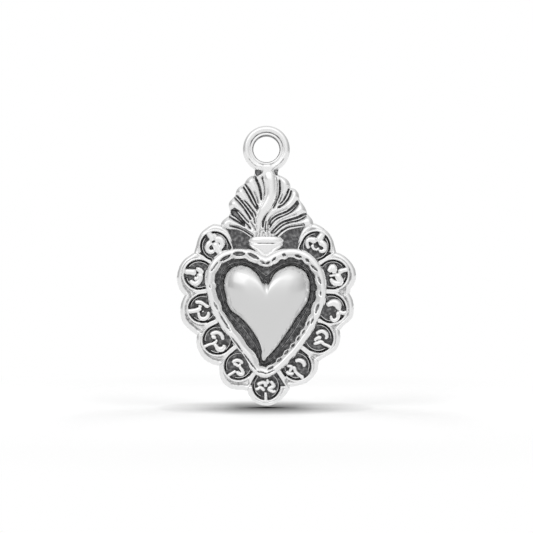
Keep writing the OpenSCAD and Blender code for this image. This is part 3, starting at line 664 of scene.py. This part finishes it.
# The fan of flames is one broad form, engraved with dark lines that part its tongues. Each line is its
# points and its width in pixels.
FAN_CUTS = [
    ([(255.5, 238), (257.5, 233)], 0.6), ([(259, 238), (259.6, 231)], 0.5),
    ([(262, 237), (263.6, 232)], 0.6), ([(265.3, 238), (264.6, 233.5)], 0.5),
    ([(269.3, 237.5), (267.2, 231)], 0.6), ([(271.5, 238), (271.8, 233)], 0.5),
    ([(275.5, 237.5), (273.5, 232.5)], 0.6),
    ([(255, 176), (256.5, 180), (259, 186), (260.5, 192), (261.5, 199)], 1.3),
    ([(262.5, 178), (264, 183), (265, 188), (265, 193), (264, 198), (263, 203)], 1.2),
    ([(245, 184), (248.5, 189), (252, 195), (255, 201), (257, 206), (257.5, 210)], 1.3),
    ([(254.5, 192.5), (257, 198), (258, 203)], 0.7),
    ([(243.5, 187), (246, 191), (249, 196), (251.5, 201), (254, 205), (256.5, 208)], 1.2),
    ([(236.5, 195.5), (240, 199.5), (244, 204), (247, 208), (250, 212), (252.5, 216)], 1.5),
    ([(245, 201.3), (248.5, 205), (252, 209.5)], 0.9),
    ([(234.5, 197.5), (238, 201), (242, 205.5), (246, 211), (249, 216), (250.5, 219)], 1.2),
    ([(235, 209.3), (239, 212), (243, 216), (246, 219.5), (248.5, 222)], 0.9),
    ([(229.5, 216.5), (234, 219.5), (239, 222), (244, 225)], 1.3),
    ([(243, 221), (247, 224), (250, 228)], 0.9),
    ([(231, 226), (237, 227.5), (243, 230), (248, 233), (252.5, 236)], 1.4),
    ([(275.5, 178), (276.7, 184), (276.5, 190), (276.3, 196), (274.5, 201), (271.5, 206), (268, 211),
      (265, 216), (263.5, 221), (263, 226)], 1.7),
    ([(279.5, 181), (279.8, 188), (279, 195), (277, 200), (275, 204), (273.5, 207)], 1.2),
    ([(282, 195), (280.5, 199), (279, 202)], 0.7),
    ([(289, 189), (287.5, 193), (285.5, 197), (283, 201), (281, 203)], 1.3),
    ([(291, 191), (290, 195), (288, 199), (285.5, 202), (283, 204.5), (279, 207)], 1.2),
    ([(297.5, 201.5), (295, 205), (291.5, 208.5), (287, 211.5), (282, 213.5), (277, 215.5), (273, 218),
      (270.5, 221), (269.5, 224)], 1.7),
    ([(286, 209), (280, 211.3), (275, 213.7), (271, 217.5), (268.5, 222)], 0.6),
    ([(298, 203), (296, 206.5), (293, 210), (289, 213), (284, 215.5), (279, 217.5), (275, 220),
      (271.5, 224), (270, 227)], 1.1),
    ([(306, 214), (302, 215.5), (298, 217.5), (293, 219), (288, 220.5), (283, 222), (279, 224.5),
      (276, 227.5), (273.5, 230), (272, 232.5)], 1.8),
    ([(295, 214.5), (288, 217), (283, 219), (279, 221.5), (275, 225), (271.5, 229)], 0.6),
    ([(305.5, 216.3), (301.5, 219), (296, 221), (290, 222), (285, 224), (281, 226.5), (277, 230),
      (274, 233)], 1.1),
    ([(302, 225), (295, 226), (289, 227), (285, 229), (281, 231.5), (278, 234.5), (276, 236)], 1.2),
    ([(260, 218), (259.7, 223), (259.5, 229)], 1.0), ([(266, 222), (265.3, 226), (265.5, 231)], 0.8),
    ([(268, 224), (267.8, 230)], 0.7), ([(252.5, 210), (254.5, 213), (256, 216.5)], 1.1),
    ([(252, 213), (254, 218), (255, 223)], 0.9), ([(251, 222), (253.5, 226), (256, 230)], 0.7),
    ([(256.3, 219), (257, 224), (257.5, 229)], 0.7),
    ([(258, 231), (263, 229.8), (268, 229.8), (273, 231.5)], 0.6)]
# Low dark places: beside the neck, and between the two lowest flames on the left
FAN_PITS = [
    [(253, 166.5), (260.5, 167.5), (262.2, 170.5), (261.6, 173.4), (258.2, 175.6), (255.4, 174.6)],
    [(272.6, 170), (281, 166), (280, 170.5), (278.4, 174.4), (276, 175), (273.4, 172.8)],
    [(231, 210.5), (235.5, 210), (238.5, 213.5), (242, 218), (245, 222.5), (243.5, 224), (239.5, 221),
     (235.5, 217.5), (231.5, 214.8)]]
# Lower edge of the fan, from the tip of the lowest left flame over the urn to that of the right one
FAN_UNDER = [
    (224, 228.3), (227, 229.3), (231, 230.3), (237, 230.3), (242, 232), (246, 234.5), (250, 237.5),
    (256, 240), (266, 241), (276, 240), (282, 236.2), (286, 232.5), (291, 230.2), (297, 228.8),
    (303, 227.7), (310, 228.2)]
# Middle flame as (x, y, half width) from root to tip
MIDDLE = [
    (258.6, 232, 1.6), (258.8, 224, 3.4), (260, 216.5, 5), (262.3, 211, 6), (265.8, 206, 6.6),
    (269, 200, 6.9), (270.8, 195, 7), (271.2, 189, 7.2), (270.7, 183, 7.6), (269.3, 177, 7.4),
    (267.8, 171.5, 7.2), (267, 167, 7.6), (266.6, 162.6, 8)]
FLAME_T = 1.75
# Heights of the fan's floor in its cuts, of its outer edge and of its pits
CUT_T = 1.15
FAN_EDGE_T = 0.72
PIT_T = 0.85


def build_fan():
    """The fan of flames as one engraved plate, with the middle flame as a ridge over it."""
    cut_width = 1.25
    line = np.vstack([curve(mm(FAN_LEFT), 90), curve(mm(FAN_UNDER), 60), curve(mm(FAN_RIGHT), 90)])
    cuts = [(curve(mm(points, 1.4), 60), width * cut_width * PX) for points, width in FAN_CUTS]
    pits = [curve(mm(pit, 1.0), 50, closed=True) for pit in FAN_PITS]

    def read(p):
        """Distance from the edge, room beside the cuts, stain, and how far into a pit."""
        e = away(p, line)
        room = np.full(len(p), 9.0)
        stain = np.zeros(len(p))
        for path, width in cuts:
            d = away(p, path)
            room = np.minimum(room, d - width * 0.35)
            dark = step(width * 0.5 + 0.05, width * 0.5 - 0.04, d) * min(0.92, width / 0.1)
            stain = np.maximum(stain, dark)
        deep = np.zeros(len(p))
        for pit in pits:
            signed = away(p, pit) * np.where(inside(p, pit), 1, -1)
            deep = np.maximum(deep, step(-0.1, 0.12, signed))
        return e, np.maximum(room, 0), np.maximum(stain, 0.82 * step(0.3, 0.7, deep)), deep

    def top(p):
        e, room, _, deep = read(p)
        h = CUT_T + (FLAME_T - CUT_T) * rounded(room / 0.48)
        h = FAN_EDGE_T + (h - FAN_EDGE_T) * rounded(e / 0.5)
        return h + (PIT_T - h) * deep

    edge_rows = [(0.1, 0.3), (0.03, 0.4), (0.0, 0.6), (0.02, FAN_EDGE_T)]
    plate(line, edge_rows, 0.055, top, lambda p: read(p)[2])
    n = 60
    t = np.linspace(0, 1, n)
    crest = 1.6 + 0.35 * step(0, 0.4, t) - 0.43 * step(0.75, 1, t)
    ridge(mm(MIDDLE, 1.8), crest, n=n, base=0.3, ends=(0.0, 0.3), power=0.6, sections=24, foot=1.2)


def build_urn():
    """The urn, as half rings over the ground."""
    top = 1.95
    lip_px = 19
    line_y = 243.5
    sunk = 0.35
    # Radius in pixels and place in pixels down the photograph, from lip to foot
    profile = curve([(2.0, 236.2), (11, 236.4), (16.4, 237.2), (18.6, 239), (19.2, 240.8), (18.9, 242.7),
                     (18.5, 243.5), (18.6, 244.2), (18.2, 245.8), (16.4, 247.8), (13.4, 250), (10.4, 252.6),
                     (7.6, 255), (4.4, 257.4), (1.5, 259)], 72)
    q, up = arch(40)
    rings, stain = [], []
    for radius, y in profile:
        r = radius * PX
        lift = top - GROUND + sunk - 0.12 * math.exp(-((y - line_y) / 0.6) ** 2) * (radius > 16)
        h = GROUND - sunk + lift * (radius / lip_px) ** 0.35 * up ** 0.55
        rings.append(np.column_stack([r * q - 0.03, np.full(len(q), (HOLE_Y - y) * PX), h]))
        line = math.exp(-((y - line_y - 0.1) / 0.75) ** 2) * step(0.6, 0.4, np.abs(q))
        body = 0.3 * float(step(246.5, 250, y))
        stain.append(np.maximum(0.9 * line, np.maximum(body, step(0.75, 0.6, h))))
    loft(rings, stain=np.array(stain))


def loop_outline():
    """Outline of the ground round the lobes, the fan and the neck, from the top left lobe's panel side."""
    lobes = np.vstack([curve(e, 40)[:-1] for e in lobe_edge])
    # The panel sides of the two top lobes are left out
    lobes = lobes[14:-12]
    right = curve(mm(FAN_RIGHT), 60)
    left = curve(mm(FAN_LEFT), 60)
    return np.vstack([lobes, right, left])


def build_ground():
    """The flat ground behind everything, dark with oxide."""
    rows = [(0.1, 0.0), (0.045, 0.06), (0.03, 0.2), (0.03, 0.5), (0.035, GROUND - 0.03), (0.07, GROUND)]
    plate(loop_outline(), rows, 0.5, lambda p: np.full(len(p), GROUND),
          lambda p: np.full(len(p), GROUND_OXIDE))


def build_channel():
    """The faint raised line that runs round the channel between frame and dome."""
    half = 0.07
    frame_half = 0.5
    edge = curve(mm(DOME_LINE), 300, closed=True)
    out = -turning(edge) * normals(edge, closed=True)
    frame_line = curve(mm(FRAME_LINE), 600, closed=True)
    room = away(edge, frame_line) - frame_half
    line = edge + out * (0.16 + 0.35 * np.clip(room - 0.3, 0, 1))[:, None]
    q, up = arch(8)
    h = 0.6 + 0.3 * up * np.ones((len(line), 1))
    loft(crossed(line, out, half * q, h), loop=True, stain=0.6)


build_ring()
build_ground()
build_lobes()
build_scrolls()
build_frame()
build_dome()
build_channel()
build_fan()
build_urn()

verts, quads, tris, stains, start = [], [], [], [], 0
for v, q, t, marks in shells:
    verts.append(v)
    quads.append(q + start)
    tris.append(t + start)
    stains.append(marks)
    start += len(v)
stains = np.concatenate(stains)
verts, quads, tris = np.vstack(verts), np.vstack(quads), np.vstack(tris)

# Oxide stays where the surface lies under its surroundings. Heights over a fine grid are read off the skin.
faces = quads.tolist() + tris.tolist()
tree = BVHTree.FromPolygons(verts.tolist(), faces)
CELL = 0.07
MARGIN = 1.5
ABOVE = 6
low = verts.min(axis=0)[:2] - MARGIN
nx, ny = (np.ceil((verts.max(axis=0)[:2] + MARGIN - low) / CELL)).astype(int)
height = np.zeros((ny, nx))
down = Vector((0, 0, -1))
for j in range(ny):
    for i in range(nx):
        hit = tree.ray_cast(Vector((low[0] + (i + 0.5) * CELL, low[1] + (j + 0.5) * CELL, ABOVE)), down)
        if hit[0] is not None:
            height[j, i] = hit[0].z


def blurred(image, sigma):
    """The image blurred over sigma millimetres."""
    k = np.arange(-int(3 * sigma / CELL), int(3 * sigma / CELL) + 1)
    w = np.exp(-0.5 * (k * CELL / sigma) ** 2)
    w /= w.sum()
    for axis in (0, 1):
        image = sum(share * np.roll(image, shift, axis=axis) for shift, share in zip(k, w))
    return image


def sampled(image, p):
    """The image's value at each point, from the four cells round it."""
    u = np.clip((p[:, 0] - low[0]) / CELL - 0.5, 0, nx - 1.001)
    v = np.clip((p[:, 1] - low[1]) / CELL - 0.5, 0, ny - 1.001)
    i, j = u.astype(int), v.astype(int)
    fu, fv = u - i, v - j
    return ((image[j, i] * (1 - fu) + image[j, i + 1] * fu) * (1 - fv)
            + (image[j + 1, i] * (1 - fu) + image[j + 1, i + 1] * fu) * fv)


# Outside the silhouette the surroundings count as ground, so that outer edges stay clean
BACK_OXIDE = 0.12
filled = np.where(height > 0.01, height, GROUND * 0.9)
sunk = sampled(blurred(filled, 0.16), verts) - verts[:, 2]
on_front = (verts[:, 2] > 0.3) * (verts[:, 2] < 2.2)
oxide = np.maximum(stains, 0.6 * step(0.16, 0.4, sunk) * on_front)
oxide = np.where(verts[:, 2] < 0.1, BACK_OXIDE, oxide)

mesh = bpy.data.meshes.new("pendant_skin")
world = np.column_stack([verts[:, 0], RING_T / 2 - verts[:, 2], verts[:, 1]]) / 1000
mesh.from_pydata(world.tolist(), [], faces)
# Painted shade: the dome's front gets a darker silver than the rest, standing in for its dimmer reflection
dome = curve(mm(DOME_LINE, 1.3), 200, closed=True)
dome_painted_shade = inside(verts[:, :2], dome) * step(1.1, 1.25, verts[:, 2])
for name, values in (("oxide", oxide), ("dome_painted_shade", dome_painted_shade)):
    layer = mesh.attributes.new(name, "FLOAT", "POINT")
    layer.data.foreach_set("value", values.astype(np.float32))
# The back is plain and flat
mesh.polygons.foreach_set("use_smooth", np.array([verts[face, 2].max() > 0.001 for face in faces]))
mesh.update()
piece = bpy.data.objects.new("pendant_skin", mesh)
bpy.context.scene.collection.objects.link(piece)
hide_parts("pendant")
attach(piece, "root")


def shader(tree, kind, options=None, values=None):
    """A new shader node, with its options and the values of its sockets set."""
    node = tree.nodes.new("ShaderNode" + kind)
    for name, value in (options or {}).items():
        setattr(node, name, value)
    for name, value in (values or {}).items():
        node.inputs[name].default_value = value
    return node


def join(tree, *links):
    """Link sockets, each link as a node, its output, the next node and its input."""
    for source, output, target, socket in links:
        tree.links.new(source.outputs[output], target.inputs[socket])


def emptied(owner):
    """The node tree of a material or world, with nothing in it."""
    owner.use_nodes = True
    owner.node_tree.nodes.clear()
    return owner.node_tree


SMOOTH = {"interpolation_type": "SMOOTHSTEP"}


def antique_silver():
    """Silver, bright where it is worn, with a painted shade that makes the dome a little darker, and dark
    with oxide where it lies low.
    """
    mat = bpy.data.materials.new("antique_silver")
    nt = emptied(mat)
    out = shader(nt, "OutputMaterial")
    bsdf = shader(nt, "BsdfPrincipled", values={"Metallic": 1.0})
    coord = shader(nt, "TexCoord")
    dark = shader(nt, "Attribute", {"attribute_name": "oxide"})
    grain = shader(nt, "TexNoise", values={"Scale": 3200, "Detail": 4})
    broken = shader(nt, "Math", {"operation": "MULTIPLY_ADD"}, {1: 0.7, 2: -0.35})
    total = shader(nt, "Math", {"operation": "ADD", "use_clamp": True})
    cover = shader(nt, "MapRange", SMOOTH, {"From Min": 0.3, "From Max": 0.95})
    dome_shade = shader(nt, "Attribute", {"attribute_name": "dome_painted_shade"})
    # Painted shade: the dome's silver is darker (0.745) than the rest (0.92)
    metal = shader(nt, "Mix", {"data_type": "RGBA"},
                   {"A": (0.92, 0.92, 0.92, 1), "B": (0.745, 0.745, 0.745, 1)})
    colour = shader(nt, "Mix", {"data_type": "RGBA"}, {"B": (0.1, 0.1, 0.103, 1)})
    rough = shader(nt, "MapRange", values={"To Min": 0.2, "To Max": 0.55})
    dents = shader(nt, "TexNoise", values={"Scale": 900, "Detail": 3})
    bump = shader(nt, "Bump", values={"Strength": 0.25, "Distance": 0.00006})
    join(nt,
         (coord, "Object", grain, "Vector"),
         (grain, "Fac", broken, 0),
         (dark, "Fac", total, 0),
         (broken, 0, total, 1),
         (total, 0, cover, "Value"),
         (dome_shade, "Fac", metal, "Factor"),
         (metal, "Result", colour, "A"),
         (cover, "Result", colour, "Factor"),
         (colour, "Result", bsdf, "Base Color"),
         (cover, "Result", rough, "Value"),
         (rough, "Result", bsdf, "Roughness"),
         (coord, "Object", dents, "Vector"),
         (dents, "Fac", bump, "Height"),
         (bump, "Normal", bsdf, "Normal"),
         (bsdf, 0, out, 0))
    return mat


mesh.materials.append(antique_silver())

# The floor lies just under the lowest lobe
floor_z = -0.02402
FLOOR_HALF = 1.5


def floor_material():
    """Pale floor that the lamps light round the pendant only, and plain white beyond; near the pendant
    ambient occlusion darkens its colour, a painted contact shadow.
    """
    mat = bpy.data.materials.new("floor")
    nt = emptied(mat)
    out = shader(nt, "OutputMaterial")
    diffuse = shader(nt, "BsdfDiffuse")
    # Painted shadow: ambient occlusion near the pendant darkens the floor's colour
    painted_contact_shadow = shader(nt, "AmbientOcclusion", values={"Distance": 0.0065})
    deeper = shader(nt, "Math", {"operation": "POWER"}, {1: 2.5})
    tone = shader(nt, "MapRange", values={"To Max": 0.85})
    white = shader(nt, "Emission", values={"Strength": 1.0})
    mirrored = shader(nt, "Emission", values={"Strength": 0.86})
    coord = shader(nt, "TexCoord")
    reach = shader(nt, "VectorMath", {"operation": "LENGTH"})
    spread = shader(nt, "MapRange", SMOOTH, {"From Min": 0.012, "From Max": 0.045})
    path = shader(nt, "LightPath")
    near = shader(nt, "MixShader")
    seen = shader(nt, "MixShader")
    join(nt,
         (painted_contact_shadow, "AO", deeper, 0),
         (deeper, 0, tone, "Value"),
         (tone, "Result", diffuse, "Color"),
         (coord, "Object", reach, 0),
         (reach, "Value", spread, "Value"),
         (spread, "Result", near, 0),
         (diffuse, 0, near, 1),
         (white, 0, near, 2),
         (path, "Is Camera Ray", seen, 0),
         (mirrored, 0, seen, 1),
         (near, 0, seen, 2),
         (seen, 0, out, 0))
    return mat


floor_mesh = bpy.data.meshes.new("floor")
corners = [(x * FLOOR_HALF, y * FLOOR_HALF, 0) for x, y in ((-1, -1), (1, -1), (1, 1), (-1, 1))]
floor_mesh.from_pydata(corners, [], [(0, 1, 2, 3)])
floor_mesh.materials.append(floor_material())
floor = bpy.data.objects.new("floor", floor_mesh)
floor.location = (0, 0, floor_z)
bpy.context.scene.collection.objects.link(floor)


def ramp(nt, value, stops):
    """Strength of the studio along an axis, as stops of (place from -1 to 1, strength)."""
    lift = shader(nt, "Math", {"operation": "MULTIPLY_ADD"}, {1: 0.5, 2: 0.5})
    nt.links.new(value, lift.inputs[0])
    node = shader(nt, "ValToRGB")
    nt.links.new(lift.outputs[0], node.inputs[0])
    node.color_ramp.interpolation = "EASE"
    elements = node.color_ramp.elements
    for place, _ in stops[1:-1]:
        elements.new((place + 1) / 2)
    for element, (_, strength) in zip(elements, stops):
        element.color = (strength, strength, strength, 1)
    return node.outputs[0]


def product(nt, a, b):
    """The product of two colours."""
    node = shader(nt, "Mix", {"data_type": "RGBA", "blend_type": "MULTIPLY"}, {"Factor": 1.0})
    nt.links.new(a, node.inputs["A"])
    nt.links.new(b, node.inputs["B"])
    return node.outputs["Result"]


def studio_world():
    """White where the camera looks, and for the metal a soft studio, bright above and dim at the sides."""
    sky = bpy.data.worlds.new("studio")
    nt = emptied(sky)
    out = shader(nt, "OutputWorld")
    white = shader(nt, "Background", values={"Color": (1, 1, 1, 1), "Strength": 1.0})
    studio = shader(nt, "Background")
    ambient = shader(nt, "Background", values={"Color": (1, 1, 1, 1), "Strength": 0.03})
    path = shader(nt, "LightPath")
    coord = shader(nt, "TexCoord")
    split = shader(nt, "SeparateXYZ")
    # The camera's side is bright, and the wall behind the pendant is dimmer
    depth = ramp(nt, split.outputs["Y"], [(-1, 0.9), (-0.93, 0.92), (-0.7, 0.96), (-0.3, 0.82), (0.05, 0.7),
                                          (0.35, 0.6), (1, 0.56)])
    rise = ramp(nt, split.outputs["Z"], [(-1, 0.65), (-0.6, 0.95), (-0.3, 1.0), (0.1, 1.0), (0.4, 1.15),
                                         (0.75, 1.4), (1, 1.3)])
    sides = ramp(nt, split.outputs["X"], [(-1, 0.75), (-0.65, 0.84), (-0.3, 1.0), (0.3, 1.0), (0.65, 0.82),
                                          (1, 0.75)])
    nt.links.new(product(nt, product(nt, depth, rise), sides), studio.inputs["Color"])
    lighting = shader(nt, "MixShader")
    seen = shader(nt, "MixShader")
    join(nt,
         (coord, "Generated", split, 0),
         (path, "Is Glossy Ray", lighting, 0),
         (ambient, 0, lighting, 1),
         (studio, 0, lighting, 2),
         (path, "Is Camera Ray", seen, 0),
         (lighting, 0, seen, 1),
         (white, 0, seen, 2),
         (seen, 0, out, 0))
    return sky


bpy.context.scene.world = studio_world()


def area(name, at, target, size, power, glossy=True):
    """A rectangular lamp that faces its target."""
    data = bpy.data.lights.new(name, "AREA")
    data.shape = "RECTANGLE"
    data.size, data.size_y = size
    data.energy = power
    obj = bpy.data.objects.new(name, data)
    obj.location = at
    obj.rotation_euler = (Vector(target) - Vector(at)).to_track_quat("-Z", "Y").to_euler()
    obj.visible_glossy = glossy
    bpy.context.scene.collection.objects.link(obj)


# Two long lamps over the floor cast the pendant's shadow, deepened by the shade painted into the floor's
# colour, and one on the left shades the relief
OVER_X, OVER_UP = 0.045, 0.08
for name, x in (("over_left", -OVER_X), ("over_right", OVER_X)):
    area(name, (x, 0, floor_z + OVER_UP), (x, 0, floor_z), (0.02, 0.12), 0.08, glossy=False)
area("left", (-0.12, -0.13, 0.12), (0, 0, -0.012), (0.16, 0.16), 0.025)

camera_data = bpy.data.cameras.new("camera")
camera = bpy.data.objects.new("camera", camera_data)
distance = VIEW_D / 1000
camera.location = (0.00001, -distance, -0.01089)
camera.rotation_euler = (math.pi / 2, 0, 0)
camera_data.sensor_width = 36
camera_data.lens = camera_data.sensor_width * distance / (FRAME_PX * PX / 1000)
camera_data.clip_start = 0.001
bpy.context.scene.collection.objects.link(camera)
bpy.context.scene.camera = camera

bpy.context.scene.view_settings.view_transform = "Standard"
